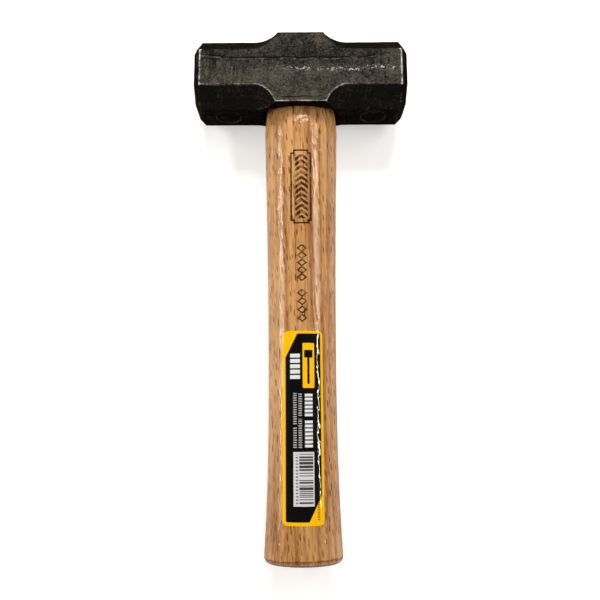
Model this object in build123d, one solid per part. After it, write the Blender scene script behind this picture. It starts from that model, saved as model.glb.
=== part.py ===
"""Lump hammer, about 1 kg: a forged double-faced head wedged onto an oval wooden handle.

The hammer lies on one cheek of its head. X runs along the head, from striking face to
striking face. Y runs along the handle, towards the head. Z is up, from cheek to cheek.
The origin is under the middle of the whole tool, on the surface it lies on. Millimetres.
"""

import os
from math import sqrt

from build123d import *

# ---- Whole tool -------------------------------------------------------------------------
overall_length = 269.0

# ---- Head -------------------------------------------------------------------------------
head_length = 112.5
head_height = 38.9  # along the handle
head_depth = 38.9  # cheek to cheek
corner_cut = 9.6  # leg of the flats that make the two ends octagonal
face_bevel = 3.3  # round each striking face
top_cheek_half = 12.1  # half of the uncut middle, on the edges away from the handle
top_runout_radius = 16.7
bottom_cheek_half = 13.4  # half of the uncut middle, on the edges beside the handle
bottom_runout_radius = 12.3
forge_mark_diameter = 13.6
forge_mark_depth = 0.5
forge_mark_from_face = 17.0

# ---- Eye: full widths along X and along Z ------------------------------------------------
mouth_width, mouth_breadth = 43.3, 27.4
mouth_depth = 5.4
throat_width, throat_breadth = 35.4, 24.0
waist_width, waist_breadth = 34.4, 23.0
waist_from_mouth = 19.7
eye_top_width, eye_top_breadth = 36.9, 25.6
gap_at_sides = 3.0  # between the handle's shoulder and the mouth's rim, along X
gap_at_cheeks = 0.8  # the same, along Z

# ---- Handle: full width and breadth of its oval -------------------------------------------
butt_width, butt_breadth = 38.8, 28.5
palm_width, palm_breadth = 36.3, 27.2
grip_width, grip_breadth = 34.4, 25.8
middle_width, middle_breadth = 35.3, 26.2
neck_width, neck_breadth = 38.8, 27.2
palm_from_butt = 25.6
grip_from_butt = 90.6
middle_from_butt = 138.9
neck_from_head = 9.4
butt_round = 3.2
end_recess = 0.5  # from the head's top down to the end grain

# ---- Wedges -------------------------------------------------------------------------------
wood_wedge_thickness = 4.6
wood_wedge_tip = 1.2
wood_wedge_depth = 27.0
steel_wedge_count = 2
steel_wedge_spacing = 17.0
steel_wedge_width = 15.0
steel_wedge_thickness = 2.8
steel_wedge_tip = 0.9
steel_wedge_depth = 18.0
steel_wedge_proud = 0.3  # above the end grain
barb_count = 3
barb_step = 0.35

# ---- Label --------------------------------------------------------------------------------
label_length = 92.4
label_width = 19.9  # straight across, over the curve of the handle
label_corner = 2.4
label_thickness = 0.2
label_from_butt = 18.9

# ---- Derived places -----------------------------------------------------------------------
head_top_y = overall_length / 2
butt_y = -overall_length / 2
underside_y = head_top_y - head_height
head_y = head_top_y - head_height / 2
end_grain_y = head_top_y - end_recess
seat_width = mouth_width - 2 * gap_at_sides
seat_breadth = mouth_breadth - 2 * gap_at_cheeks
axis_z = head_depth / 2


def oval(width, breadth, y):
    """An oval face across the handle's axis, at one height along the handle."""
    plane = Plane(origin=(0, y, axis_z), x_dir=(1, 0, 0), z_dir=(0, 1, 0))
    return plane * Ellipse(width / 2, breadth / 2)


def runout_cutter(side_x, side_y, side_z, cheek_half, radius):
    """The tool that takes one long corner off one end, and runs out in an arc by the cheek."""
    corner = Vector(0, head_y + side_y * head_height / 2, axis_z + side_z * head_depth / 2)
    cut_depth = corner_cut / sqrt(2)
    reach = sqrt(2 * radius * cut_depth - cut_depth**2)
    arc_start_x = cheek_half + reach
    far_x = head_length
    above = 2 * radius
    # Across the corner: the first direction runs to the end, the second straight out of it.
    plane = Plane(corner, x_dir=(side_x, 0, 0), z_dir=(0, -side_x * side_z, side_x * side_y))
    flat = Polyline(
        (arc_start_x, -cut_depth),
        (far_x, -cut_depth),
        (far_x, above),
        (arc_start_x, above),
        close=True,
    )
    arc = Pos(arc_start_x, radius - cut_depth) * Circle(radius)
    profile = plane * (make_face(flat) + arc)
    return extrude(profile, amount=head_depth, both=True)


def head_blank():
    """The forged block with its octagonal ends, bevelled faces and shallow round marks."""
    block = Pos(0, head_y, axis_z) * Box(head_length, head_height, head_depth)
    for side_x in (-1, 1):
        for side_z in (-1, 1):
            block -= runout_cutter(side_x, 1, side_z, top_cheek_half, top_runout_radius)
            block -= runout_cutter(side_x, -1, side_z, bottom_cheek_half, bottom_runout_radius)
    for side in (0, -1):
        block = chamfer(block.faces().sort_by(Axis.X)[side].edges(), face_bevel)
    mark_x = head_length / 2 - forge_mark_from_face
    for side_x in (-1, 1):
        place = Pos(side_x * mark_x, underside_y, axis_z) * Rot(90, 0, 0)
        block -= place * Cylinder(forge_mark_diameter / 2, 2 * forge_mark_depth)
    return block


def eye_bore():
    """The fitted part of the eye, from its throat through its waist to its top."""
    throat = oval(throat_width, throat_breadth, underside_y + mouth_depth)
    waist = oval(waist_width, waist_breadth, underside_y + waist_from_mouth)
    top = oval(eye_top_width, eye_top_breadth, head_top_y)
    return loft([throat, waist], ruled=True) + loft([waist, top], ruled=True)


def eye_mouth():
    """The flare that lets the handle's shoulder into the eye."""
    mouth = oval(mouth_width, mouth_breadth, underside_y)
    throat = oval(throat_width, throat_breadth, underside_y + mouth_depth)
    return loft([mouth, throat], ruled=True)


def grip_blank(extra=0.0):
    """The handle from its butt to its neck. A positive extra makes it thicker all round."""
    stations = (
        (butt_y, butt_width, butt_breadth),
        (butt_y + palm_from_butt, palm_width, palm_breadth),
        (butt_y + grip_from_butt, grip_width, grip_breadth),
        (butt_y + middle_from_butt, middle_width, middle_breadth),
        (underside_y - neck_from_head, neck_width, neck_breadth),
    )
    return loft([oval(w + 2 * extra, b + 2 * extra, y) for y, w, b in stations])


def shoulder():
    """The short taper from the neck to the throat of the eye."""
    neck = oval(neck_width, neck_breadth, underside_y - neck_from_head)
    seat = oval(seat_width, seat_breadth, underside_y)
    throat = oval(throat_width, throat_breadth, underside_y + mouth_depth)
    return loft([neck, seat], ruled=True) + loft([seat, throat], ruled=True)


def tenon():
    """The end of the handle that fills the eye, cut off just below the head's top."""
    above = Pos(0, head_top_y, axis_z) * Box(2 * eye_top_width, 2 * end_recess, head_depth)
    return eye_bore() - above


def wood_wedge_blank():
    """The flat wedge for the saw cut along the eye, before it is trimmed to the eye."""
    half_top, half_tip = wood_wedge_thickness / 2, wood_wedge_tip / 2
    tip_y = end_grain_y - wood_wedge_depth
    slope = (half_top - half_tip) / wood_wedge_depth
    half_over = half_top + slope * end_recess
    outline = Polyline(
        (axis_z - half_tip, tip_y),
        (axis_z + half_tip, tip_y),
        (axis_z + half_over, head_top_y),
        (axis_z - half_over, head_top_y),
        close=True,
    )
    plane = Plane(origin=(0, 0, 0), x_dir=(0, 0, 1), z_dir=(-1, 0, 0))
    return extrude(plane * make_face(outline), amount=eye_top_width, both=True)


def steel_wedge(centre_x):
    """One barbed wedge, driven across the wooden one."""
    top_y = end_grain_y + steel_wedge_proud
    tip_y = top_y - steel_wedge_depth
    pitch = steel_wedge_depth / (barb_count + 1)
    taper = (steel_wedge_thickness - steel_wedge_tip) / 2 / steel_wedge_depth
    side = [(steel_wedge_tip / 2, tip_y)]
    for step in range(1, barb_count + 1):
        y = tip_y + step * pitch
        half = steel_wedge_tip / 2 + taper * (y - tip_y)
        side += [(half + barb_step, y), (half, y)]
    side.append((steel_wedge_thickness / 2, top_y))
    right = [(centre_x + x, y) for x, y in side]
    left = [(centre_x - x, y) for x, y in reversed(side)]
    outline = Polyline(*right, *left, close=True)
    plane = Plane(origin=(0, 0, axis_z), x_dir=(1, 0, 0), z_dir=(0, 0, 1))
    return extrude(plane * make_face(outline), amount=steel_wedge_width / 2, both=True)


def label():
    """The sticker, as thick as its film and curved to the handle."""
    centre_y = butt_y + label_from_butt + label_length / 2
    outline = Pos(0, centre_y, axis_z) * RectangleRounded(label_width, label_length, label_corner)
    column = extrude(outline, amount=butt_breadth)
    return grip_blank(label_thickness) & column


def main():
    os.makedirs("parts", exist_ok=True)
    bore = eye_bore()
    head = head_blank() - bore - eye_mouth()
    grip = grip_blank()
    sticker = label() - grip
    butt_edge = grip.faces().sort_by(Axis.Y)[0].edges()
    rounded_grip = fillet(butt_edge, butt_round)
    first_x = -steel_wedge_spacing * (steel_wedge_count - 1) / 2
    steel_wedges = [
        steel_wedge(first_x + n * steel_wedge_spacing) for n in range(steel_wedge_count)
    ]
    end = tenon()
    wooden_wedge = end & wood_wedge_blank()
    handle = rounded_grip + shoulder() + end - wood_wedge_blank()
    for wedge in steel_wedges:
        wooden_wedge -= wedge
        handle -= wedge

    nodes = {
        "head": head,
        "handle": handle,
        "wooden_wedge": wooden_wedge,
        "label": sticker,
    }
    for number, wedge in enumerate(steel_wedges, 1):
        nodes[f"steel_wedge_{number}"] = wedge
    for name, shape in nodes.items():
        export_step(shape, f"parts/{name}.step")


main()
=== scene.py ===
"""Lump hammer: a forged double-faced head wedged onto a lacquered wooden handle.

The hammer lies on one cheek of its head. X runs from striking face to striking face, Y runs
along the handle towards the head, and Z is up. Lengths are in metres.
"""

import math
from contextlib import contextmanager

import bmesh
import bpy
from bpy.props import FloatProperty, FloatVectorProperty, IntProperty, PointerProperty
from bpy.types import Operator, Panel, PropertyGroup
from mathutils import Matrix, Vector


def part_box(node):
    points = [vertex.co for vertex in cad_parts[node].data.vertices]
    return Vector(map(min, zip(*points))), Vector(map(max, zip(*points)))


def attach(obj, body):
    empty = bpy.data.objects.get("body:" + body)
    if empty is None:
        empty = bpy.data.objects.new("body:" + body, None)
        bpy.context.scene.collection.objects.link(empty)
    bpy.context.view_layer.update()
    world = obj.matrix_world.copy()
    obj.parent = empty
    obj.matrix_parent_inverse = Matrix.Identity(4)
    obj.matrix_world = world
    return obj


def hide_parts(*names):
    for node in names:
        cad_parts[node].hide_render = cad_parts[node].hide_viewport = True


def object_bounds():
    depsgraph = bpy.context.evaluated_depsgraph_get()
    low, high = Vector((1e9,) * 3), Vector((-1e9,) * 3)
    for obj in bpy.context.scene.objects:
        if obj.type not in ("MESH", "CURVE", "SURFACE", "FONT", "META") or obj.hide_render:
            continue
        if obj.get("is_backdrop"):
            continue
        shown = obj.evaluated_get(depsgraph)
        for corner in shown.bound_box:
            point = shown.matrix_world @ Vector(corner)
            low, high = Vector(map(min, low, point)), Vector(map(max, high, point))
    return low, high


bl_info = {
    "name": "Lump hammer",
    "version": (1, 0, 0),
    "blender": (4, 5, 0),
    "location": "View3D > Sidebar > Lump hammer",
    "description": "Builds a forged lump hammer, its wedges, its label and a plain stage",
    "category": "Object",
}

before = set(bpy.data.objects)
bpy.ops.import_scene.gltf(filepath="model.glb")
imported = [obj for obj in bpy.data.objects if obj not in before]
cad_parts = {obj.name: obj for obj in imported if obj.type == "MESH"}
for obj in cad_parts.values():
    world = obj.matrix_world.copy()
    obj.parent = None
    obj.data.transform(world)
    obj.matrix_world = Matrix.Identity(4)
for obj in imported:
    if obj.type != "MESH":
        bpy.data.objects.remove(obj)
cad_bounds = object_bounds()

MM = 0.001
BODY = "root"
SMOOTH_ANGLE = math.radians(40)

head_low, head_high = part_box("head")
handle_low, handle_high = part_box("handle")
label_low, label_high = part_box("label")
wood_low, wood_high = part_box("wooden_wedge")
STEEL_BOXES = (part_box("steel_wedge_1"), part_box("steel_wedge_2"))

axis_z = (head_low.z + head_high.z) / 2
head_y = (head_low.y + head_high.y) / 2
underside_y = head_low.y
head_top_y = head_high.y
butt_y = handle_low.y
end_grain_y = handle_high.y


# ---- Properties ---------------------------------------------------------------------------


def length(name, description, default):
    """A length in metres that a user may change."""
    return FloatProperty(name=name, description=description, default=default, unit="LENGTH")


def colour(name, description, default):
    """A colour that a user may change."""
    return FloatVectorProperty(
        name=name, description=description, default=default, subtype="COLOR", min=0, max=1
    )


class HeadSizes(PropertyGroup):
    """The forging's own sizes, beside those that the frame gives."""

    corner_cut: length("Corner cut", "Leg of the flats that make the ends octagonal", 9.6 * MM)
    face_bevel: length("Face bevel", "Bevel round each striking face", 3.3 * MM)
    top_cheek: length("Top cheek", "Half of the uncut middle, away from the handle", 12.1 * MM)
    top_runout: length("Top run-out", "Radius of the arcs away from the handle", 16.7 * MM)
    low_cheek: length("Low cheek", "Half of the uncut middle, beside the handle", 13.4 * MM)
    low_runout: length("Low run-out", "Radius of the arcs beside the handle", 12.3 * MM)
    mark_diameter: length("Mark", "Diameter of the round marks beside the handle", 13.6 * MM)
    mark_depth: length("Mark depth", "Depth of the round marks", 0.5 * MM)
    mark_from_face: length("Mark place", "From a striking face to a mark's centre", 17.0 * MM)
    edge_round: length("Edge round", "How far the forging's edges are rounded", 0.45 * MM)
    waviness: length("Waviness", "How uneven the forged surfaces are", 0.22 * MM)
    slice: length("Slice", "Distance between the cuts that the unevenness needs", 1.15 * MM)


class EyeSizes(PropertyGroup):
    """Full widths of the eye along X and along Z."""

    mouth_width: length("Mouth width", "The mouth, along the head", 43.3 * MM)
    mouth_breadth: length("Mouth breadth", "The mouth, from cheek to cheek", 27.4 * MM)
    mouth_depth: length("Mouth depth", "How deep the flare of the mouth goes", 5.4 * MM)
    throat_width: length("Throat width", "Where the flare ends", 35.4 * MM)
    throat_breadth: length("Throat breadth", "Where the flare ends", 24.0 * MM)
    waist_width: length("Waist width", "The narrowest place", 34.4 * MM)
    waist_breadth: length("Waist breadth", "The narrowest place", 23.0 * MM)
    waist_depth: length("Waist depth", "From the mouth to the narrowest place", 19.7 * MM)
    top_width: length("Top width", "The far end, where the wedges go in", 36.9 * MM)
    top_breadth: length("Top breadth", "The far end, where the wedges go in", 25.6 * MM)
    gap_at_sides: length("Side gap", "Between the shoulder and the mouth, along X", 3.0 * MM)
    gap_at_cheeks: length("Cheek gap", "Between the shoulder and the mouth, along Z", 0.8 * MM)


class HandleSizes(PropertyGroup):
    """Full widths of the handle's oval along X and along Z, and where they are."""

    butt_width: length("Butt width", "At the butt", 38.8 * MM)
    butt_breadth: length("Butt breadth", "At the butt", 28.5 * MM)
    palm_width: length("Palm width", "Just above the butt's flare", 36.3 * MM)
    palm_breadth: length("Palm breadth", "Just above the butt's flare", 27.2 * MM)
    grip_width: length("Grip width", "At the slimmest place", 34.4 * MM)
    grip_breadth: length("Grip breadth", "At the slimmest place", 25.8 * MM)
    middle_width: length("Middle width", "Between the grip and the neck", 35.3 * MM)
    middle_breadth: length("Middle breadth", "Between the grip and the neck", 26.2 * MM)
    neck_width: length("Neck width", "Below the head", 38.8 * MM)
    neck_breadth: length("Neck breadth", "Below the head", 27.2 * MM)
    palm_place: length("Palm place", "From the butt", 25.6 * MM)
    grip_place: length("Grip place", "From the butt", 90.6 * MM)
    middle_place: length("Middle place", "From the butt", 138.9 * MM)
    neck_place: length("Neck place", "From the head's underside down to the neck", 9.4 * MM)
    butt_round: length("Butt round", "Radius of the butt's edge", 3.2 * MM)
    sides: IntProperty(name="Sides", description="Points round each oval", default=128, min=24)


class WedgeSizes(PropertyGroup):
    """The wedges in the end of the handle."""

    wood_thickness: length("Wood thickness", "Wooden wedge, at its top", 4.6 * MM)
    wood_tip: length("Wood tip", "Wooden wedge, at its tip", 1.2 * MM)
    steel_thickness: length("Steel thickness", "Steel wedge, at its top", 2.8 * MM)
    steel_tip: length("Steel tip", "Steel wedge, at its tip", 0.9 * MM)
    slack: length("Slack", "Dark gap between a wedge and the wood beside it", 0.12 * MM)


class LabelSizes(PropertyGroup):
    """The sticker's own sizes."""

    corner: length("Corner", "Radius of the sticker's corners", 2.4 * MM)
    film: length("Film", "Thickness of the sticker", 0.2 * MM)


class Finishes(PropertyGroup):
    """Colours, as linear values."""

    # The dark steel colour is also the painted shade on the faces off the cheeks.
    steel_dark_and_shade: colour("Steel, dark", "Scale left on the forging", (0.010, 0.009, 0.0075))
    steel_light: colour("Steel, light", "Blasted steel", (0.076, 0.066, 0.051))
    # The edge colour is also used for painted glints and highlights.
    steel_edge_and_glint: colour("Steel, edge", "Where the edges are rubbed bright", (0.51, 0.49, 0.46))
    wood_light: colour("Wood, light", "Pale wood", (0.700, 0.388, 0.150))
    wood_dark: colour("Wood, dark", "Darker growth rings", (0.300, 0.115, 0.030))
    wood_fleck: colour("Wood, fleck", "Short dark rays", (0.125, 0.028, 0.004))
    wood_sawn: colour("Wood, sawn", "Lines and pores in end grain", (0.11, 0.038, 0.012))
    wedge_stain: colour("Wedge, stain", "Dirt on the wooden wedge", (0.10, 0.035, 0.012))
    wedge_dark: colour("Wedge, dark", "Dull steel of the wedges", (0.20, 0.195, 0.185))
    wedge_bright: colour("Wedge, bright", "Bare steel of the wedges", (0.34, 0.33, 0.315))
    burnt: colour("Burnt", "Scorched marks", (0.022, 0.005, 0.0015))
    print_yellow: colour("Yellow", "Ground of the sticker", (0.95, 0.50, 0.0))
    print_black: colour("Black", "Panel of the sticker", (0.0012, 0.0011, 0.0010))
    print_white: colour("White", "Marks on the sticker", (0.80, 0.80, 0.80))


class StageSettings(PropertyGroup):
    """Camera, lamps and floor."""

    lens: FloatProperty(name="Lens", description="Focal length, mm", default=39.0, min=10)
    tilt: FloatProperty(
        name="Tilt", description="Camera's lean from straight down", default=math.radians(9.95),
        unit="ROTATION",
    )
    roll: FloatProperty(
        name="Roll", description="Camera's turn about the upright", default=math.radians(-0.35),
        unit="ROTATION",
    )
    height: length("Height", "Camera above the floor", 351.6 * MM)
    back: length("Back", "Camera from the middle of the hammer, towards the butt", 63.7 * MM)
    aside: length("Aside", "Camera from the middle of the hammer, along X", -1.4 * MM)
    floor: colour("Floor", "Colour of the floor", (0.80, 0.80, 0.80))
    ambient: FloatProperty(name="Ambient", description="Light from all round", default=0.22, min=0)


# ---- Modelling helpers --------------------------------------------------------------------


def deselect_all():
    """Leaves edit mode, and leaves nothing selected."""
    if bpy.context.object and bpy.context.object.mode != "OBJECT":
        bpy.ops.object.mode_set(mode="OBJECT")
    bpy.ops.object.select_all(action="DESELECT")


def activate(piece):
    """Selects the piece alone and makes it the active one."""
    deselect_all()
    piece.select_set(True)
    bpy.context.view_layer.objects.active = piece


@contextmanager
def editing(piece):
    """Edit mode on the piece alone, with all of it selected at first."""
    activate(piece)
    bpy.ops.object.mode_set(mode="EDIT")
    bpy.ops.mesh.select_all(action="SELECT")
    yield
    bpy.ops.object.mode_set(mode="OBJECT")


def smooth(piece, angle=SMOOTH_ANGLE):
    """Shades the piece smooth, but for edges sharper than the angle."""
    activate(piece)
    bpy.ops.object.shade_smooth_by_angle(angle=angle)


def start(primitive, name, **settings):
    """Adds a primitive with nothing else selected, and names it."""
    deselect_all()
    primitive(**settings)
    piece = bpy.context.object
    piece.name = name
    piece.data.name = name
    return piece


def finish_modifier(piece, kind, **settings):
    """Adds a modifier and applies it."""
    activate(piece)
    modifier = piece.modifiers.new(kind.lower(), kind)
    for key, value in settings.items():
        setattr(modifier, key, value)
    bpy.ops.object.modifier_apply(modifier=modifier.name)


def boolean(piece, other, operation):
    """Cuts or trims the piece by the other one, which is used up."""
    finish_modifier(piece, "BOOLEAN", object=other, operation=operation, solver="EXACT")
    bpy.data.objects.remove(other, do_unlink=True)


def settle(piece):
    """Puts the piece's place into its mesh."""
    activate(piece)
    bpy.ops.object.transform_apply(location=True, rotation=True, scale=True)


def tidy_mesh(piece):
    """Merges doubled points and turns every face outwards."""
    with editing(piece):
        bpy.ops.mesh.remove_doubles(threshold=1e-6)
        bpy.ops.mesh.normals_make_consistent(inside=False)


def select_where(piece, kind, test):
    """In edit mode, selects only the verts, edges or faces that pass the test."""
    bpy.ops.mesh.select_mode(type={"verts": "VERT", "edges": "EDGE", "faces": "FACE"}[kind])
    bpy.ops.mesh.select_all(action="DESELECT")
    mesh = bmesh.from_edit_mesh(piece.data)
    for item in getattr(mesh, kind):
        if test(item):
            item.select_set(True)
    mesh.select_flush_mode()
    bmesh.update_edit_mesh(piece.data)


def slice_grid(piece, step, directions):
    """Cuts the whole mesh by even planes along the given directions."""
    low = [min(v.co[i] for v in piece.data.vertices) for i in range(3)]
    high = [max(v.co[i] for v in piece.data.vertices) for i in range(3)]
    with editing(piece):
        for axis in directions:
            normal = [0, 0, 0]
            normal[axis] = 1
            count = int((high[axis] - low[axis]) / step)
            spacing = (high[axis] - low[axis]) / (count + 1)
            for cut_number in range(1, count + 1):
                place = list(low)
                place[axis] = low[axis] + cut_number * spacing
                bpy.ops.mesh.select_all(action="SELECT")
                bpy.ops.mesh.bisect(plane_co=place, plane_no=normal)


def between(first, last, share):
    """The ring that lies a share of the way from the first to the last, or beyond it."""
    return tuple(start + (end - start) * share for start, end in zip(first, last))


def loft_ovals(name, rings, sides):
    """A closed solid through ovals about the handle's axis: (place along Y, half X, half Z)."""
    last_y, last_x, last_z = rings[0]
    piece = start(
        bpy.ops.mesh.primitive_circle_add, name, vertices=sides, radius=last_x,
        fill_type="NGON", location=(0, last_y, axis_z), rotation=(math.pi / 2, 0, 0),
    )
    settle(piece)
    with editing(piece):
        flatten = (1, 1, last_z / last_x)
        bpy.ops.transform.resize(value=flatten, center_override=(0, last_y, axis_z))
        for y, half_x, half_z in rings[1:]:
            move = {"value": (0, y - last_y, 0), "orient_type": "GLOBAL"}
            bpy.ops.mesh.extrude_region_move(TRANSFORM_OT_translate=move)
            growth = (half_x / last_x, 1, half_z / last_z)
            bpy.ops.transform.resize(value=growth, center_override=(0, y, axis_z))
            last_y, last_x, last_z = y, half_x, half_z
    tidy_mesh(piece)
    return piece


def hand_over(piece, material, slot, *nodes):
    """Paints the piece, which stands for its CAD nodes and moves with the hammer."""
    piece.data.materials.append(material)
    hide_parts(*nodes)
    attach(piece, BODY)


# ---- Material helpers ---------------------------------------------------------------------


class Signal:
    """A node's output that adds, multiplies and compares like a number, by way of Math nodes."""

    def __init__(self, tree, socket):
        self.tree = tree
        self.socket = socket

    def beside(self, output):
        """Another output of the same node."""
        return Signal(self.tree, self.socket.node.outputs[output])

    def __add__(self, other):
        return calc("ADD", self, other)

    def __sub__(self, other):
        return calc("SUBTRACT", self, other)

    def __rsub__(self, other):
        return calc("SUBTRACT", other, self)

    def __mul__(self, other):
        return calc("MULTIPLY", self, other)

    def __truediv__(self, other):
        return calc("DIVIDE", self, other)

    def __lt__(self, other):
        return calc("LESS_THAN", self, other)

    def __neg__(self):
        return self * -1

    def __abs__(self):
        return calc("ABSOLUTE", self)

    __radd__ = __add__
    __rmul__ = __mul__


def feed(socket, value):
    """Sets an input to a plain value, or links it to a signal."""
    if isinstance(value, Signal):
        value.tree.links.new(value.socket, socket)
    else:
        socket.default_value = value


def add_node(tree, kind, output, inputs, **settings):
    """Adds a node, sets it up, feeds its inputs and returns one of its outputs."""
    node = tree.nodes.new("ShaderNode" + kind)
    for name, value in settings.items():
        setattr(node, name, value)
    for name, value in inputs.items():
        feed(node.inputs[name], value)
    return Signal(tree, node.outputs[output])


def calc(operation, *values):
    """A Math node on signals and plain numbers, at least one of them a signal."""
    tree = next(value.tree for value in values if isinstance(value, Signal))
    return add_node(tree, "Math", "Value", dict(enumerate(values)), operation=operation)


def smaller(first, second):
    """The smaller of two."""
    return calc("MINIMUM", first, second)


def larger(first, *others):
    """The largest of all."""
    for other in others:
        first = calc("MAXIMUM", first, other)
    return first


def distance(first, second):
    """How far a point is from nought, from its two coordinates."""
    return calc("SQRT", first * first + second * second)


def band(value, low, high):
    """Runs smoothly from 0 at low to 1 at high."""
    inputs = {"Value": value, "From Min": low, "From Max": high}
    return add_node(value.tree, "MapRange", "Result", inputs, interpolation_type="SMOOTHSTEP")


def near(offset, inner, outer):
    """1 where the offset is nearly nought, and 0 beyond outer."""
    return 1 - band(abs(offset), inner, outer)


def within(value, low, high):
    """1 between low and high, with sharp ends."""
    return calc("COMPARE", value, (low + high) / 2, abs(high - low) / 2)


def mix(factor, first, second):
    """Goes from the first colour to the second as the factor goes from 0 to 1."""
    inputs = {"Factor": factor}
    for name, value in (("A", first), ("B", second)):
        inputs[name] = value if isinstance(value, Signal) else (*value, 1)
    tree = next(value.tree for value in inputs.values() if isinstance(value, Signal))
    return add_node(tree, "Mix", "Result", inputs, data_type="RGBA")


def split(vector):
    """The three parts of a vector or a colour."""
    first = add_node(vector.tree, "SeparateXYZ", "X", {"Vector": vector})
    return first, first.beside("Y"), first.beside("Z")


def noise(place, size, detail=3.0, roughness=0.5):
    """Noise whose features are about size across."""
    inputs = {"Vector": place, "Scale": 1 / size, "Detail": detail, "Roughness": roughness}
    return add_node(place.tree, "TexNoise", "Fac", inputs)


def scattered_spots(place, size, inner, outer, rarity):
    """Soft spots on points scattered about size apart; a higher rarity leaves fewer."""
    inputs = {"Vector": place, "Scale": 1 / size}
    away = add_node(place.tree, "TexVoronoi", "Distance", inputs)
    chance = split(away.beside("Color"))[0]
    return near(away, inner, outer) * band(chance, rarity, 0.9)


def bump(height, depth, strength=1.0):
    """A normal for a surface whose height runs from 0 to 1 over the depth."""
    inputs = {"Strength": strength, "Distance": depth, "Height": height}
    return add_node(height.tree, "Bump", "Normal", inputs)


class Paint:
    """A new material: its node tree, its shader and the coordinates that feed it."""

    def __init__(self, name):
        self.material = bpy.data.materials.new(name)
        self.material.use_nodes = True
        self.tree = self.material.node_tree
        self.tree.nodes.clear()
        output = self.tree.nodes.new("ShaderNodeOutputMaterial")
        self.shader = self.tree.nodes.new("ShaderNodeBsdfPrincipled")
        self.tree.links.new(self.shader.outputs["BSDF"], output.inputs["Surface"])

    def place(self, origin=(0, 0, 0), turn=0.0, scale=(1, 1, 1)):
        """Object coordinates with their nought at origin, turned about Z and then scaled."""
        inputs = {
            "Vector": add_node(self.tree, "TexCoord", "Object", {}),
            "Location": origin,
            "Rotation": (0, 0, turn),
            "Scale": [1 / s for s in scale],
        }
        return add_node(self.tree, "Mapping", "Vector", inputs, vector_type="TEXTURE")

    def attribute(self, name):
        """A value stored in the mesh."""
        return add_node(self.tree, "Attribute", "Fac", {}, attribute_name=name)

    def shade(self, **inputs):
        """Feeds the shader's inputs, each named with _ for a space."""
        for name, value in inputs.items():
            feed(self.shader.inputs[name.replace("_", " ")], value)
        return self.material


# ---- Steel --------------------------------------------------------------------------------


def die_folds(place, across, along, cheek, wander):
    """Folds left by the dies, and a painted highlight on the lip along the long one, where it
    catches the light.

    The long fold runs the length of the cheek and turns away from the handle at its ends. The
    short one lies close above the cheek's edge beside the handle.
    """
    to_end = abs(across)
    long_place, short_place = 5.3 * MM, -17.3 * MM
    offset = along - long_place - 4 * MM * wander - 1.8 * MM * band(to_end, 30 * MM, 50 * MM)
    broken = band(noise(place, 5 * MM, detail=1), 0.30, 0.48)
    long_fold = near(offset, 0.15 * MM, 0.50 * MM) * broken * (1 - band(to_end, 44 * MM, 50 * MM))
    short_offset = along - short_place - 3 * MM * wander
    short_fold = near(short_offset, 0.15 * MM, 0.50 * MM) * near(across + 1.5 * MM, 7 * MM, 10 * MM)
    # Painted highlight along the lip beside the long fold.
    lip = near(offset + 0.75 * MM, 0.1 * MM, 0.45 * MM)
    lip = lip * band(noise(place, 4 * MM, detail=2), 0.45, 0.62)
    return larger(long_fold, short_fold) * cheek, lip * cheek


def rubbed_edges(paint, place, across, cheek, low_side, chips):
    """Chipped bright edges, most of all beside the handle and at the striking faces; a painted
    highlight makes the right striking face's edges brighter than the left's.
    """
    rubbed = paint.attribute("rubbed")
    to_end = abs(across)
    at_ends = band(to_end, 50.5 * MM, 52.0 * MM)
    inward = 1 - at_ends
    exposed = larger(low_side * inward, at_ends * cheek)
    hidden = 0.35 * band(to_end, 22 * MM, 30 * MM) * inward
    # Painted highlight: the edges at the right striking face are brighter than those at the left.
    right_end_highlight = at_ends * (0.20 * band(across, 0, 1 * MM) - 0.02)
    lengths = noise(place, 7 * MM, detail=2) - 0.5
    edge = 0.50 * rubbed + 2.2 * (chips - 0.5)
    edge = edge + 0.72 * exposed * (1 - hidden) + 0.80 * lengths + right_end_highlight
    return band(edge, 0.80, 1.45) * band(rubbed, 0.30, 0.85)


def mark_rims(across, along, up, sizes):
    """The rims of the two round marks beside the handle, which get a faint painted highlight."""
    centre = head_high.x - sizes.mark_from_face
    from_rim = distance(abs(across) - centre, up) - sizes.mark_diameter / 2
    return near(from_rim, 0.15 * MM, 0.55 * MM) * (along < underside_y - head_y + 2 * MM)


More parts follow.
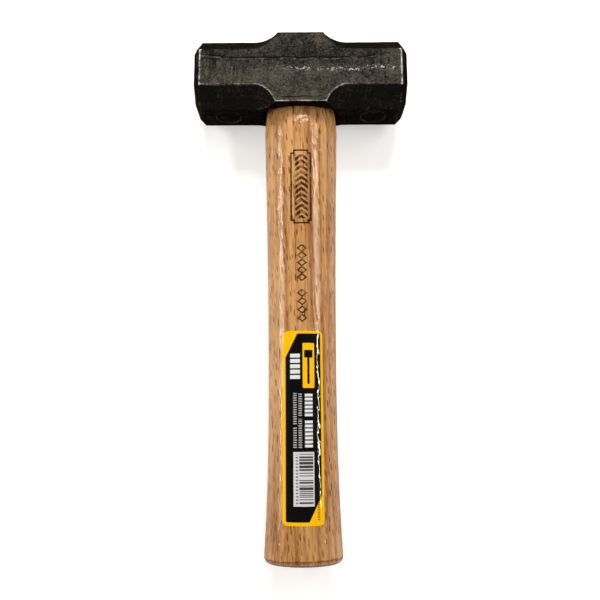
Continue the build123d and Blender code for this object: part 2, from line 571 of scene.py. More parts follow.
def forged_steel(finishes, sizes):
    """Blasted forging: dark scale, pits and folds, and edges rubbed bright. The cheeks are paler
    because the faces off them are darkened by painted shade, and painted glints and highlights lie
    on the steel.
    """
    paint = Paint("forged_steel")
    place = paint.place(origin=(0, head_y, axis_z))
    across, along, up = split(place)
    to_end = abs(across)
    cheek = band(abs(up), 18.5 * MM, 19.0 * MM)
    low_side = band(-along, -2 * MM, 2 * MM)

    broad = noise(place, 14 * MM, detail=2)
    blotches = noise(place, 3.5 * MM, detail=4, roughness=0.6)
    grain = noise(place, 1.15 * MM, detail=3, roughness=0.75)
    chips = noise(place, 1.1 * MM, detail=4, roughness=0.75)
    # Painted glints: fine bright specks on the cheeks.
    glint_specks = band(noise(place, 0.55 * MM, detail=1), 0.66, 0.80)
    pits = scattered_spots(place, 1.7 * MM, 0.10, 0.40, 0.45)
    wander = noise(place, 12 * MM, detail=3) - 0.5

    # Short scratches cross the cheeks near the striking faces.
    drawn = paint.place(origin=(0, head_y, axis_z), scale=(1, 0.10, 0.10))
    scratched = band(to_end, 27 * MM, 38 * MM) * band(noise(place, 9 * MM, detail=1), 0.42, 0.60)
    scratches = (noise(drawn, 1.2 * MM, detail=2) - 0.5) * scratched

    # A painted highlight of bright specks runs along a crushed ridge in the middle of the cheek.
    ridge_place = -0.9 * MM
    ridge_highlight = near(along - ridge_place - 5 * MM * wander, 0.2 * MM, 1.9 * MM) * cheek
    ridge_highlight = ridge_highlight * band(across, -24 * MM, 8 * MM)
    ridge_highlight = ridge_highlight * band(noise(place, 0.9 * MM, detail=2), 0.55, 0.66)

    fold, lip = die_folds(place, across, along, cheek, wander)
    # The steel is paler towards the handle.
    paler_by_handle = 0.34 * band(-along, -5.0 * MM, 6.0 * MM)
    # Painted shade: the faces off the cheeks are darkened, those beside the handle most, where they
    # face away from the light.
    flats = (1 - cheek) * (0.28 * low_side + 0.30)
    tone = 0.95 * broad + 0.60 * blotches + 1.90 * (grain - 0.5) + 1.8 * scratches
    tone = tone + 0.7 * (paler_by_handle + lip) - 0.45 * pits - flats - 0.40 * fold
    skin = mix(band(tone, 0.42, 1.42), finishes.steel_dark_and_shade, finishes.steel_light)

    # Rubbed edges are real wear; the specks, the ridge and the marks' rims add painted highlights.
    bright = larger(
        rubbed_edges(paint, place, across, cheek, low_side, chips),
        0.35 * glint_specks * cheek,
        0.70 * ridge_highlight,
        0.10 * chips * mark_rims(across, along, up, sizes),
    )
    height = grain + 1.2 * blotches + 0.6 * scratches - 0.6 * pits - 1.6 * fold
    return paint.shade(
        Base_Color=mix(bright, skin, finishes.steel_edge_and_glint),
        Roughness=0.54 - 0.12 * bright + 0.1 * pits,
        Metallic=1.0,
        Specular_Tint=(0.20, 0.20, 0.20, 1),
        Normal=bump(height, 0.42 * MM),
    )


def wedge_steel(finishes):
    """Bright steel, dented by the blows that drove it."""
    paint = Paint("wedge_steel")
    place = paint.place(origin=(0, head_y, axis_z))
    bare = band(noise(place, 2.5 * MM, detail=4), 0.42, 0.62)
    return paint.shade(
        Base_Color=mix(bare, finishes.wedge_dark, finishes.wedge_bright),
        Metallic=1.0,
        Roughness=0.6 - 0.2 * bare,
        Normal=bump(noise(place, 1.6 * MM, detail=2), 0.18 * MM),
    )


# ---- Wood ---------------------------------------------------------------------------------


def wood_rays(paint, turn, fibres, fibre_place):
    """Short dark rays along the grain, and a crowd of finer ones."""
    slant = turn + math.radians(4)
    ray_place = paint.place((0, 0, axis_z), slant, (1, 0.20, 1))
    fine_place = paint.place((0, 0, axis_z), slant, (1, 0.14, 1))
    ragged = larger(smaller(0.9 * (fibres - 0.5) + 0.95, 1), 0)
    crowd = band(noise(fibre_place, 6 * MM, detail=1), 0.30, 0.60)
    rays = scattered_spots(ray_place, 1.45 * MM, 0.24, 0.33, -0.6) * ragged * (0.35 * crowd + 0.65)
    return rays, scattered_spots(fine_place, 1.1 * MM, 0.15, 0.48, 0.10)


def sawn_end(place, finishes, rings, ring_x, ring_z, sway, cloud):
    """The grain seen from its end: growth rings, fine spokes across them, and pores."""
    ring_lines = near(rings - 0.85, 0.02, 0.16)
    angle = calc("ARCTAN2", ring_z, ring_x) + sway
    spokes = band(calc("SINE", 330 * angle), 0.80, 0.98)
    spokes = spokes * band(noise(place, 1.6 * MM, detail=1), 0.42, 0.60)
    pores = band(noise(place, 0.35 * MM, detail=2, roughness=0.7), 0.45, 0.65)
    tone = 0.35 * ring_lines + 0.35 * spokes + 0.25 * pores + 0.35 * cloud
    return mix(band(tone, 0.05, 0.95), finishes.wood_dark, finishes.wood_sawn)


def wood_colour(paint, finishes, turn):
    """Close-grained wood, full of short reddish rays. Returns its colour and its height.

    Where the cut_end attribute is 1 the grain is seen from its end.
    """
    place = paint.place((0, 0, axis_z), turn)
    fibre_place = paint.place((0, 0, axis_z), turn, (1, 0.05, 1))
    band_place = paint.place((0, 0, axis_z), turn, (1, 0.022, 1))

    # Growth rings lie round a pith well outside the handle.
    ring_x, _, ring_z = split(paint.place((50 * MM, 0, axis_z - 45 * MM), turn))
    sway = 7 * MM * noise(band_place, 9 * MM, detail=2)
    rings = calc("FRACT", (distance(ring_x, ring_z) + sway) / (4.3 * MM))
    late = band(rings, 0.30, 0.92) * near(rings, 0.90, 0.99)

    fibres = noise(fibre_place, 0.7 * MM, detail=4, roughness=0.65)
    bands = noise(band_place, 5 * MM, detail=3)
    cloud = noise(place, 26 * MM, detail=2)
    tone = 0.16 * late + 0.85 * fibres + 0.50 * bands + 0.30 * cloud
    body = mix(band(tone, 0.55, 1.18), finishes.wood_light, finishes.wood_dark)

    rays, fine_rays = wood_rays(paint, turn, fibres, fibre_place)
    body = mix(0.40 * fine_rays, body, finishes.wood_fleck)
    body = mix(0.95 * rays, body, finishes.wood_fleck)

    # The butt's edge is darker along a wavering line.
    line = butt_y + 1.5 * MM + 2.4 * MM * noise(place, 4 * MM, detail=2)
    butt_line = near(split(place)[1] - line, 0.1 * MM, 0.8 * MM)
    butt_line = butt_line * band(noise(place, 3 * MM, detail=2), 0.30, 0.50)
    body = mix(0.75 * butt_line, body, finishes.wood_fleck)

    end = band(paint.attribute("cut_end"), 0.5, 0.8)
    body = mix(end, body, sawn_end(place, finishes, rings, ring_x, ring_z, sway, cloud))
    return body, 0.6 * fibres - 0.7 * rays


def round_box(across, along, low, high, radius):
    """Distance outside a box with round corners: negative inside it."""
    parts = []
    for value, first, last in ((across, low[0], high[0]), (along, low[1], high[1])):
        away = abs(value - (first + last) / 2) - (abs(last - first) / 2 - radius)
        parts.append(larger(away, 0))
    return distance(*parts) - radius


# Marks burnt into the handle, each row as (half width, start, end, pitch). Places along Y are
# measured from the middle of the head.
CHEVRONS = (3.1 * MM, -80.6 * MM, -46.2 * MM, 3.0 * MM)
LOZENGES = (
    (2.1 * MM, -113.0 * MM, -94.2 * MM, 3.76 * MM),
    (2.1 * MM, -133.9 * MM, -117.0 * MM, 4.22 * MM),
)
FRAME_LOW, FRAME_HIGH = (-5.6 * MM, -83.2 * MM), (5.1 * MM, -43.6 * MM)
FRAME_NOTCH, FRAME_LINE = 1.5 * MM, 0.9 * MM


def notched_box(across, along, inset):
    """Distance outside the frame, which has notched corners, once it is drawn in by the inset."""
    boxes = []
    for cut_x, cut_y in ((FRAME_NOTCH + inset, inset), (inset, FRAME_NOTCH + inset)):
        low = (FRAME_LOW[0] + cut_x, FRAME_LOW[1] + cut_y)
        high = (FRAME_HIGH[0] - cut_x, FRAME_HIGH[1] - cut_y)
        boxes.append(round_box(across, along, low, high, 0))
    return smaller(*boxes)


def chevrons(across, along, half, first, last, pitch):
    """A row of burnt chevrons that point towards the head."""
    part = calc("FRACT", (along + 0.75 * abs(across)) / pitch) - 0.5
    edges = near(across, half, 1.12 * half)
    return near(part, 0.217, 0.403) * edges * within(along, first, last)


def lozenges(across, along, half, first, last, pitch):
    """A row of burnt lozenge outlines."""
    line = 0.80 * MM
    part = calc("FRACT", (along - first) / pitch) - 0.5
    reach = abs(across) + 1.25 * pitch * abs(part)
    return near(reach - half, line / 2, line) * within(along, first, last)


def burnt_marks(paint):
    """A notched frame of chevrons and two rows of lozenges, burnt into the upper side."""
    place = paint.place(origin=(0, head_y, axis_z))
    across, along, up = split(place)
    across = across + 0.7 * MM * (noise(place, 0.9 * MM, detail=2) - 0.5)
    outside, inside = [notched_box(across, along, inset) for inset in (0, FRAME_LINE)]
    outline = (1 - band(outside, -0.01 * MM, 0.25 * MM)) * band(inside, 0.0, 0.30 * MM)
    rows = [lozenges(across, along, *row) for row in LOZENGES]
    marks = larger(chevrons(across, along, *CHEVRONS), *rows)
    faint = band(noise(place, 2.5 * MM, detail=3), 0.28, 0.55)
    marks = marks * (0.55 * faint + 0.40)
    return larger(marks, 0.95 * outline) * band(up, 0, 2 * MM)


def lacquered_wood(finishes):
    """The handle's wood under a clear coat, with its burnt marks."""
    paint = Paint("lacquered_wood")
    body, height = wood_colour(paint, finishes, math.radians(1.0))
    burnt = burnt_marks(paint)
    ripples = noise(paint.place(scale=(1, 0.50, 1)), 1.05 * MM, detail=1)
    return paint.shade(
        Base_Color=mix(burnt, body, finishes.burnt),
        Roughness=0.6,
        Specular_IOR_Level=0.04,
        Normal=bump(height - 1.5 * burnt, 0.06 * MM, strength=0.6),
        Coat_Weight=0.30,
        Coat_Roughness=0.05,
        Coat_IOR=2.0,
        Coat_Normal=bump(ripples, 0.165 * MM),
    )


def wedge_wood(finishes):
    """Bare, crushed wood of the wedge."""
    paint = Paint("wedge_wood")
    body, height = wood_colour(paint, finishes, math.radians(90))
    return paint.shade(
        Base_Color=mix(0.55, body, finishes.wedge_stain),
        Roughness=0.75,
        Normal=bump(height, 0.08 * MM),
    )


# ---- Label --------------------------------------------------------------------------------

# Rows of blocks, in mm from the label's middle, each as (across, half height, first, last,
# pitch, filled share of the pitch, strength).
PRINT_ROWS = (
    (-3.7, 2.4, 22.6, 35.2, 2.62, 0.72, 0.92),
    (2.85, 1.9, 4.6, 16.0, 1.90, 0.68, 0.92),
    (2.85, 1.9, -10.1, 3.0, 1.90, 0.68, 0.92),
    (-1.3, 0.85, 4.8, 15.8, 1.12, 0.55, 0.45),
    (-1.3, 0.85, -10.3, 3.4, 1.12, 0.55, 0.45),
    (-3.85, 0.85, 0.8, 15.8, 1.12, 0.55, 0.45),
    (-3.85, 0.85, -10.3, -0.7, 1.12, 0.55, 0.45),
)
DOT_ROW = (-3.0, 0.6, -36.2, -13.4, 1.5, 0.5, 0.75)
CORNER_ROW = (7.3, 0.55, -43.6, -34.0, 1.1, 0.6, 0.7)


def block_row(across, along, row):
    """A row of plain blocks that stands in for a line of print, running along Y."""
    middle, half, first, last, pitch = [value * MM for value in row[:5]]
    fill, strength = row[5:]
    blocks = calc("FRACT", (along - first) / pitch) < fill
    line = within(across, middle - half, middle + half) * within(along, first, last)
    return strength * blocks * line


def print_box(across, along, low_x, low_y, high_x, high_y):
    """A plain upright box between two corners, in mm."""
    return within(across, low_x * MM, high_x * MM) * within(along, low_y * MM, high_y * MM)


def random_bars(across, along):
    """Bars of random width that scan as nothing."""
    inputs = {"W": calc("FLOOR", along / (0.42 * MM))}
    chance = add_node(along.tree, "TexWhiteNoise", "Value", inputs, noise_dimensions="1D")
    bars = calc("GREATER_THAN", chance, 0.47)
    return bars * print_box(across, along, -1.9, -36.4, 4.8, -13.1)


def black_panel(across, along):
    """The black panel, with its upper left and lower right corners cut off on one slant."""
    low, high = (-8.4 * MM, -44.5 * MM), (8.8 * MM, 44.9 * MM)
    panel = round_box(across, along, low, high, 0.9 * MM) < 0
    upper = along - 2.0 * across
    return panel * (upper < 50.0 * MM) * (-upper < 50.1 * MM)


def printed_film(finishes):
    """The sticker's film: a yellow ground, a black panel and generic marks under a gloss."""
    paint = Paint("printed_film")
    middle = ((label_low.x + label_high.x) / 2, (label_low.y + label_high.y) / 2, 0)
    across, along, _ = split(paint.place(origin=middle))
    yellow, black, white = finishes.print_yellow, finishes.print_black, finishes.print_white

    plate = round_box(across, along, (0, 18.2 * MM), (5.75 * MM, 40.2 * MM), 0.6 * MM) < 0
    hammer = larger(
        print_box(across, along, 2.3, 20.2, 3.4, 33.5),
        print_box(across, along, 0.8, 33.0, 4.9, 36.8),
    )
    layers = [(black_panel(across, along), black), (plate, yellow), (hammer, black)]
    layers += [(block_row(across, along, row), white) for row in PRINT_ROWS]
    bars = larger(random_bars(across, along), block_row(across, along, DOT_ROW))
    layers += [
        (0.80 * print_box(across, along, -4.7, -37.3, 5.3, -12.2), white),
        (0.93 * bars, black),
        (block_row(across, along, CORNER_ROW), black),
    ]
    ink = yellow
    for mask, colour_of_layer in layers:
        ink = mix(mask, ink, colour_of_layer)

    ripples = noise(paint.place(scale=(1, 0.5, 1)), 6 * MM, detail=3)
    return paint.shade(
        Base_Color=ink,
        Roughness=0.5,
        Specular_IOR_Level=0.05,
        Coat_Weight=1.0,
        Coat_Roughness=0.03,
        Coat_IOR=1.45,
        Coat_Normal=bump(ripples, 0.45 * MM, strength=0.7),
    )


# ---- Stage materials ----------------------------------------------------------------------


def seen_rays(tree):
    """1 for what the camera sees, directly or in a reflection or through a clear part."""
    camera = add_node(tree, "LightPath", "Is Camera Ray", {})
    return larger(camera, camera.beside("Is Glossy Ray"), camera.beside("Is Transmission Ray"))


def floor_paint(settings):
    """Pale floor that is white away from the hammer, and keeps its shadow."""
    paint = Paint("floor_paint")
    x, y, _ = split(paint.place())
    glow = 0.50 * band(distance(x, y), 0.20, 0.60) + 0.50
    return paint.shade(
        Base_Color=(*settings.floor, 1),
        Roughness=0.9,
        Specular_IOR_Level=0.1,
        Emission_Color=(1, 1, 1, 1),
        Emission_Strength=seen_rays(paint.tree) * glow,
    )


# ---- Operators ----------------------------------------------------------------------------


def corner_cutter(sizes, side_x, side_y, side_z):
    """Takes one long corner off one end of the head, and runs out in an arc by the cheek."""
    high = side_y > 0
    cheek, radius = (
        (sizes.top_cheek, sizes.top_runout) if high else (sizes.low_cheek, sizes.low_runout)
    )
    depth = sizes.corner_cut / math.sqrt(2)
    reach = math.sqrt(2 * radius * depth - depth**2)
    outward = Vector((0, side_y, side_z)).normalized()
    half_height, half_depth = (head_top_y - underside_y) / 2, (head_high.z - head_low.z) / 2
    corner = Vector((0, head_y + side_y * half_height, axis_z + side_z * half_depth))
    centre = corner + outward * (radius - depth) + Vector((side_x * (cheek + reach), 0, 0))
    lean = math.radians(45 if side_y == side_z else -45)
    cutter = start(
        bpy.ops.mesh.primitive_cylinder_add, "corner_cutter", vertices=160, radius=radius,
        depth=2 * half_depth, location=centre, rotation=(lean, 0, 0),
    )
    settle(cutter)
    with editing(cutter):
        cut = {"plane_co": centre, "plane_no": (side_x, 0, 0)}
        bpy.ops.mesh.bisect(use_fill=True, clear_outer=True, **cut)
        flat = centre.x
        select_where(
            cutter, "faces", lambda face: all(abs(v.co.x - flat) < 1e-6 for v in face.verts)
        )
        far = side_x * (head_high.x - head_low.x)
        bpy.ops.mesh.extrude_region_move(TRANSFORM_OT_translate={"value": (far, 0, 0)})
    tidy_mesh(cutter)
    return cutter


def eye_rings(eye):
    """The eye's ovals from its throat up, as (place along Y, half X, half Z)."""
    return [
        (underside_y + eye.mouth_depth, eye.throat_width / 2, eye.throat_breadth / 2),
        (underside_y + eye.waist_depth, eye.waist_width / 2, eye.waist_breadth / 2),
        (head_top_y, eye.top_width / 2, eye.top_breadth / 2),
    ]


def beyond(before, last, over):
    """The ring that carries on past the last one, in line with the one before it."""
    return between(before, last, 1 + over / abs(last[0] - before[0]))


class LUMPHAMMER_OT_head(Operator):
    """Forge the head: octagonal ends, arcs that run out by the cheeks, and the eye"""

    bl_idname = "lump_hammer.head"
    bl_label = "Head"

    def execute(self, context):
        sizes = context.scene.hammer_head
        eye = context.scene.hammer_eye
        head = start(
            bpy.ops.mesh.primitive_cube_add, "head_forging", size=1,
            location=(head_low + head_high) / 2, scale=head_high - head_low,
        )
        settle(head)
        for side_x in (-1, 1):
            for side_y in (-1, 1):
                for side_z in (-1, 1):
                    boolean(head, corner_cutter(sizes, side_x, side_y, side_z), "DIFFERENCE")
        tidy_mesh(head)
        self.bevel_faces(head, sizes)
        self.sink_marks(head, sizes)
        self.cut_eye(head, eye, context.scene.hammer_handle.sides)
        self.round_edges(head, sizes)
        self.roughen(head, sizes)
        head.data.materials.clear()
        steel = forged_steel(context.scene.hammer_finishes, sizes)
        hand_over(head, steel, "forged_steel", "head")
        return {"FINISHED"}

    def bevel_faces(self, head, sizes):
        """Bevels the edges round both striking faces."""
        reach = head_high.x - 1e-6
        with editing(head):
            select_where(
                head, "edges",
                lambda edge: edge.verts[0].co.x * edge.verts[1].co.x > 0
                and all(abs(v.co.x) > reach for v in edge.verts),
            )
            bpy.ops.mesh.bevel(offset=sizes.face_bevel, offset_type="OFFSET", segments=1)

    def sink_marks(self, head, sizes):
        """Two shallow round marks beside the handle."""
        for side_x in (-1, 1):
            mark = start(
                bpy.ops.mesh.primitive_cylinder_add, "mark", vertices=72,
                radius=sizes.mark_diameter / 2, depth=2 * sizes.mark_depth,
                location=(side_x * (head_high.x - sizes.mark_from_face), underside_y, axis_z),
                rotation=(math.pi / 2, 0, 0),
            )
            settle(mark)
            boolean(head, mark, "DIFFERENCE")

    def cut_eye(self, head, eye, sides):
        """Cuts the eye, with a cutter that stands out of the head at both ends."""
        over = 2 * MM
        throat, waist, top = eye_rings(eye)
        mouth = (underside_y, eye.mouth_width / 2, eye.mouth_breadth / 2)
        rings = (beyond(throat, mouth, over), throat, waist, beyond(waist, top, over))
        boolean(head, loft_ovals("eye_cutter", rings, sides), "DIFFERENCE")

    def round_edges(self, head, sizes):
        """Rounds every edge, and marks where the rounding is by its material, for the rubbed
        attribute that roughen stores.
        """
        tidy_mesh(head)
        # The bevel marks its new faces by the second of two empty material slots.
        head.data.materials.append(None)
        head.data.materials.append(None)
        finish_modifier(
            head, "BEVEL", width=sizes.edge_round, segments=2, limit_method="ANGLE",
            angle_limit=math.radians(24), material=1, use_clamp_overlap=True,
        )

    def roughen(self, head, sizes):
        """Stores where the edges are rubbed, and makes the forged surfaces uneven."""
        slice_grid(head, sizes.slice, (0, 1, 2))
        mesh = head.data
        rubbed = mesh.attributes.new("rubbed", "FLOAT", "POINT")
        # The underside's edges wear less where they are away from the cheeks.
        sheltered_y = underside_y + 0.8 * MM
        sheltered_z = (head_high.z - head_low.z) / 2 - 1.5 * MM
        for face in mesh.polygons:
            sheltered = face.center.y < sheltered_y and abs(face.center.z - axis_z) < sheltered_z
            if face.material_index == 1:
                for index in face.vertices:
                    rubbed.data[index].value = 0.5 if sheltered else 1.0
            face.material_index = 0

        # Every wave and dent goes inwards, so that the head stays inside its box.
        for name, size, share in (("waves", 11 * MM, 1.0), ("dents", 3.2 * MM, 0.35)):
            texture = bpy.data.textures.new(name, "CLOUDS")
            texture.noise_scale = size
            texture.noise_depth = 1
            finish_modifier(
                head, "DISPLACE", texture=texture, strength=sizes.waviness * share,
                mid_level=1.0, texture_coords="LOCAL",
            )
        smooth(head)


def handle_profile(sizes, y):
    """Half width and half breadth of the handle at one place: a smooth curve through the ovals."""
    stations = [
        (butt_y, sizes.butt_width, sizes.butt_breadth),
        (butt_y + sizes.palm_place, sizes.palm_width, sizes.palm_breadth),
        (butt_y + sizes.grip_place, sizes.grip_width, sizes.grip_breadth),
        (butt_y + sizes.middle_place, sizes.middle_width, sizes.middle_breadth),
        (underside_y - sizes.neck_place, sizes.neck_width, sizes.neck_breadth),
    ]
    places = [station[0] for station in stations]
    return [
        natural_curve(places, [station[i] / 2 for station in stations], y) for i in (1, 2)
    ]


def natural_curve(places, values, at):
    """A natural cubic curve through the values."""
    count = len(places)
    gaps = [places[i + 1] - places[i] for i in range(count - 1)]
    upper, bends = [0.0] * count, [0.0] * count
    for i in range(1, count - 1):
        slope = (values[i + 1] - values[i]) / gaps[i] - (values[i] - values[i - 1]) / gaps[i - 1]
        pivot = 2 * (gaps[i - 1] + gaps[i]) - gaps[i - 1] * upper[i - 1]
        upper[i] = gaps[i] / pivot
        bends[i] = (6 * slope - gaps[i - 1] * bends[i - 1]) / pivot
    for i in range(count - 2, 0, -1):
        bends[i] -= upper[i] * bends[i + 1]
    i = max(0, min(count - 2, sum(place <= at for place in places) - 1))
    gap, before, after = gaps[i], at - places[i], places[i + 1] - at
    return (
        (bends[i] * after**3 + bends[i + 1] * before**3) / (6 * gap)
        + (values[i] / gap - bends[i] * gap / 6) * after
        + (values[i + 1] / gap - bends[i + 1] * gap / 6) * before
    )


def tapered_block(name, top, size, tip, tip_axis):
    """A wedge with its top face at top: a cube narrowed at its tip along one axis."""
    wide_x, deep, wide_z = size
    centre = (top[0], top[1] - deep / 2, top[2])
    block = start(
        bpy.ops.mesh.primitive_cube_add, name, size=1, location=centre,
        scale=(wide_x, deep, wide_z),
    )
    settle(block)
    taper = [1, 1, 1]
    taper[tip_axis] = tip / size[tip_axis]
    with editing(block):
        select_where(block, "verts", lambda vert: vert.co.y < centre[1])
        bpy.ops.transform.resize(value=taper, center_override=(top[0], top[1] - deep, top[2]))
    return block


def raise_top(block, lift):
    """Lengthens a block beyond its top, so that it cuts clear of the end grain."""
    with editing(block):
        select_where(block, "faces", lambda face: face.normal.y > 0.9)
        bpy.ops.mesh.extrude_region_move(TRANSFORM_OT_translate={"value": (0, lift, 0)})
    tidy_mesh(block)


def mark_cut_ends(piece):
    """Stores on each face how squarely it cuts across the grain."""
    cut_end = piece.data.attributes.new("cut_end", "FLOAT", "FACE")
    for face in piece.data.polygons:
        cut_end.data[face.index].value = abs(face.normal.y)


def steel_wedge_block(name, low, high, sizes, slack=0.0):
    """A steel wedge between two corners, or with slack the slot that it is driven into."""
    top = ((low.x + high.x) / 2, high.y, (low.z + high.z) / 2)
    size = (sizes.steel_thickness + 2 * slack, high.y - low.y + slack, high.z - low.z + 2 * slack)
    return tapered_block(name, top, size, sizes.steel_tip + 2 * slack, 0)


def wood_wedge_block(name, sizes, slack=0.0):
    """The wooden wedge, longer than the eye, so that it is trimmed to the tenon."""
    top = (0, end_grain_y, axis_z)
    width = 1.2 * (wood_high.x - wood_low.x)
    size = (width, wood_high.y - wood_low.y + slack, sizes.wood_thickness + 2 * slack)
    return tapered_block(name, top, size, sizes.wood_tip + 2 * slack, 2)


def cut_slot(piece, block):
    """Cuts the block out of the piece, right through the end grain."""
    raise_top(block, 1 * MM)
    boolean(piece, block, "DIFFERENCE")


def cut_steel_slots(piece, sizes):
    """Cuts the slots that the steel wedges are driven into."""
    for low, high in STEEL_BOXES:
        cut_slot(piece, steel_wedge_block("slot", low, high, sizes, sizes.slack))


class LUMPHAMMER_OT_handle(Operator):
    """Turn the oval handle with its flared butt, its shoulder and its tenon"""

    bl_idname = "lump_hammer.handle"
    bl_label = "Handle"

    def execute(self, context):
        sizes = context.scene.hammer_handle
        eye = context.scene.hammer_eye
        wedges = context.scene.hammer_wedges
        handle = loft_ovals("handle_shaft", self.rings(sizes, eye), sizes.sides)
        cut_slot(handle, wood_wedge_block("slot", wedges, wedges.slack))
        cut_steel_slots(handle, wedges)
        tidy_mesh(handle)
        mark_cut_ends(handle)
        smooth(handle)
        wood = lacquered_wood(context.scene.hammer_finishes)
        hand_over(handle, wood, "lacquered_wood", "handle")
        return {"FINISHED"}

    def rings(self, sizes, eye):
        """Every oval from the butt's rounded edge to the end grain."""
        throat, waist, top = eye_rings(eye)
        seat = (
            underside_y, eye.mouth_width / 2 - eye.gap_at_sides,
            eye.mouth_breadth / 2 - eye.gap_at_cheeks,
        )
        end_share = (end_grain_y - waist[0]) / (top[0] - waist[0])
        shaft = [*self.butt(sizes, 8), *self.shaft(sizes, 70)]
        shoulder = self.shoulder(shaft[-1], seat, throat, 12)
        return [*shaft, *shoulder, waist, between(waist, top, end_share)]

    def butt(self, sizes, steps):
        """The rounded edge of the butt."""
        radius = sizes.butt_round
        for step in range(steps + 1):
            turn = step / steps * math.pi / 2
            y = butt_y + radius * (1 - math.cos(turn))
            inset = radius * (1 - math.sin(turn))
            yield (y, *(half - inset for half in handle_profile(sizes, y)))

    def shaft(self, sizes, steps):
        """From the butt's edge to the neck."""
        first = butt_y + sizes.butt_round
        reach = underside_y - sizes.neck_place - first
        for step in range(1, steps + 1):
            y = first + reach * step / steps
            yield (y, *handle_profile(sizes, y))

    def shoulder(self, neck, seat, throat, steps):
        """From the neck through the seat to the throat, rounded where it turns in."""
        for step in range(1, steps + 1):
            share = step / steps
            yield between(between(neck, seat, share), between(seat, throat, share), share)


class LUMPHAMMER_OT_wedges(Operator):
    """Drive the wooden wedge and the two steel wedges"""

    bl_idname = "lump_hammer.wedges"
    bl_label = "Wedges"

    def execute(self, context):
        sizes = context.scene.hammer_wedges
        finishes = context.scene.hammer_finishes
        eye = context.scene.hammer_eye
        wood = wood_wedge_block("wooden_wedge_block", sizes)
        # The wedge is trimmed to stay just inside the tenon.
        inside = 0.15 * MM
        rings = [(y, x - inside, z - inside) for y, x, z in eye_rings(eye)]
        boolean(wood, loft_ovals("trim", rings, sides=96), "INTERSECT")
        cut_steel_slots(wood, sizes)
        tidy_mesh(wood)
        hand_over(wood, wedge_wood(finishes), "wedge_wood", "wooden_wedge")
        steel = wedge_steel(finishes)
        for number, (low, high) in enumerate(STEEL_BOXES, 1):
            wedge = steel_wedge_block(f"steel_wedge_block_{number}", low, high, sizes)
            finish_modifier(
                wedge, "BEVEL", width=0.35 * MM, segments=3, limit_method="ANGLE",
                angle_limit=math.radians(30),
            )
            smooth(wedge)
            hand_over(wedge, steel, "wedge_steel", f"steel_wedge_{number}")
        return {"FINISHED"}


class LUMPHAMMER_OT_label(Operator):
    """Wrap the sticker over the handle"""

    bl_idname = "lump_hammer.label"
    bl_label = "Label"

    def execute(self, context):
        sizes = context.scene.hammer_label
        handle = bpy.data.objects["handle_shaft"]
        size = label_high - label_low
        centre = (label_low + label_high) / 2
        label = start(
            bpy.ops.mesh.primitive_plane_add, "label_film", size=1,
            location=(centre.x, centre.y, head_high.z),
        )
        label.scale = (size.x, size.y, 1)
        settle(label)
        with editing(label):
            bpy.ops.mesh.bevel(offset=sizes.corner, segments=8, affect="VERTICES")
        # Close cuts let the film follow the handle's curve.
        slice_grid(label, 0.8 * MM, (0,))
        slice_grid(label, 2.0 * MM, (1,))
        finish_modifier(
            label, "SHRINKWRAP", target=handle, wrap_method="PROJECT", use_project_z=True,
            use_negative_direction=True, use_positive_direction=False, offset=sizes.film,
        )
        # The film stops just short of the wood, so that the two don't touch.
        finish_modifier(label, "SOLIDIFY", thickness=0.9 * sizes.film, offset=-1)
        smooth(label, math.radians(50))
        film = printed_film(context.scene.hammer_finishes)
        hand_over(label, film, "label_film", "label")
        return {"FINISHED"}


# The lamps, each as (name, place, size, power in watts, colour).
WHITE, WARM = (1, 1, 1), (1.0, 0.95, 0.86)
LAMPS = (
    ("key_lamp", (0.06, 0.84, 0.80), (0.50, 0.30), 8.6, WHITE),
    ("left_strip", (-0.80, 0.17, 0.54), (0.74, 0.030), 4.3, WARM),
    ("right_strip", (0.61, 0.17, 0.77), (0.74, 0.030), 4.0, WARM),
)


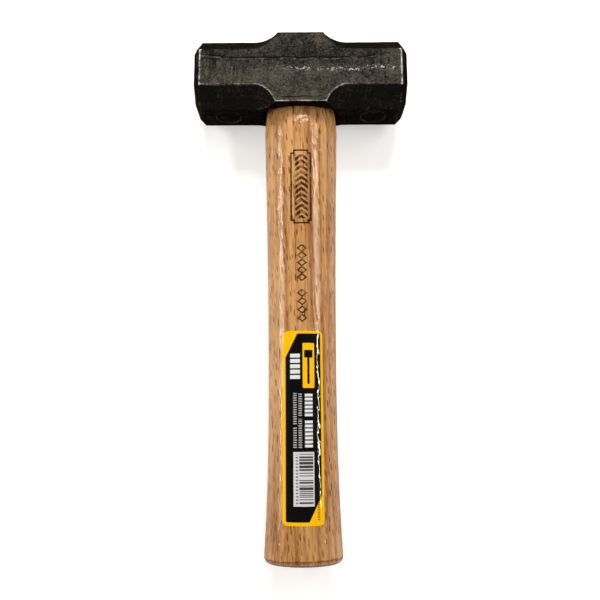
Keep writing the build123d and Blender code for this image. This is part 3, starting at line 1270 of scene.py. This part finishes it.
class LUMPHAMMER_OT_stage(Operator):
    """Set out the floor, the lamps and the camera"""

    bl_idname = "lump_hammer.stage"
    bl_label = "Stage"

    def execute(self, context):
        settings = context.scene.hammer_stage
        floor = start(bpy.ops.mesh.primitive_plane_add, "floor", size=40)
        floor.data.materials.append(floor_paint(settings))
        floor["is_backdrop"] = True
        for lamp in LAMPS:
            self.lamp(*lamp)
        self.surroundings(context.scene, settings)
        self.camera(context.scene, settings)
        return {"FINISHED"}

    def lamp(self, name, place, size, power, tint):
        """A soft box that looks at the middle of the hammer."""
        deselect_all()
        bpy.ops.object.light_add(type="AREA", location=place)
        lamp = bpy.context.object
        lamp.name = name
        lamp.data.shape = "RECTANGLE"
        lamp.data.size, lamp.data.size_y = size
        lamp.data.energy = power
        lamp.data.color = tint
        lamp.rotation_euler = (-Vector(place)).to_track_quat("-Z", "Y").to_euler()

    def surroundings(self, scene, settings):
        """White near the horizon and dim overhead, so that dark gloss stays dark."""
        world = bpy.data.worlds.new("studio")
        scene.world = world
        world.use_nodes = True
        tree = world.node_tree
        background = tree.nodes["Background"]
        background.inputs["Color"].default_value = (1, 1, 1, 1)
        height = split(add_node(tree, "TexCoord", "Generated", {}))[2]
        overhead = band(height, math.sin(math.radians(12)), math.sin(math.radians(36)))
        seen = seen_rays(tree)
        strength = seen * (1 - 0.94 * overhead) + settings.ambient * (1 - seen)
        feed(background.inputs["Strength"], strength)

    def camera(self, scene, settings):
        """Looks down at the hammer from beyond its middle."""
        deselect_all()
        bpy.ops.object.camera_add(
            location=(settings.aside, -settings.back, settings.height),
            rotation=(settings.tilt, 0, settings.roll),
        )
        camera = bpy.context.object
        camera.name = "camera"
        camera.data.lens = settings.lens
        camera.data.sensor_width = 36
        camera.data.clip_start = 10 * MM
        scene.camera = camera
        scene.view_settings.view_transform = "Standard"


class LUMPHAMMER_PT_panel(Panel):
    """Lists the hammer's pieces and their sizes"""

    bl_label = "Lump hammer"
    bl_idname = "LUMPHAMMER_PT_panel"
    bl_space_type = "VIEW_3D"
    bl_region_type = "UI"
    bl_category = "Lump hammer"

    def draw(self, context):
        for operator in OPERATORS:
            self.layout.operator(operator.bl_idname)
        for name, group in GROUPS.items():
            box = self.layout.box()
            box.label(text=group.__name__)
            for key in group.__annotations__:
                box.prop(getattr(context.scene, name), key)


OPERATORS = (
    LUMPHAMMER_OT_head,
    LUMPHAMMER_OT_handle,
    LUMPHAMMER_OT_wedges,
    LUMPHAMMER_OT_label,
    LUMPHAMMER_OT_stage,
)
GROUPS = {
    "hammer_head": HeadSizes,
    "hammer_eye": EyeSizes,
    "hammer_handle": HandleSizes,
    "hammer_wedges": WedgeSizes,
    "hammer_label": LabelSizes,
    "hammer_finishes": Finishes,
    "hammer_stage": StageSettings,
}


def register():
    """Adds the sizes, the operators and the panel."""
    for group in GROUPS.values():
        bpy.utils.register_class(group)
    for operator in OPERATORS:
        bpy.utils.register_class(operator)
    bpy.utils.register_class(LUMPHAMMER_PT_panel)
    for name, group in GROUPS.items():
        setattr(bpy.types.Scene, name, PointerProperty(type=group))


def unregister():
    """Takes them away again."""
    for name in GROUPS:
        delattr(bpy.types.Scene, name)
    bpy.utils.unregister_class(LUMPHAMMER_PT_panel)
    for operator in reversed(OPERATORS):
        bpy.utils.unregister_class(operator)
    for group in reversed(GROUPS.values()):
        bpy.utils.unregister_class(group)


def main():
    """Builds the hammer and its stage, and works out how large it came out."""
    register()
    for build in ("head", "handle", "wedges", "label", "stage"):
        getattr(bpy.ops.lump_hammer, build)()
    boxes = {"cad": cad_bounds, "visual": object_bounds()}
    {name: [list(corner) for corner in box] for name, box in boxes.items()}


if __name__ == "__main__":
    main()
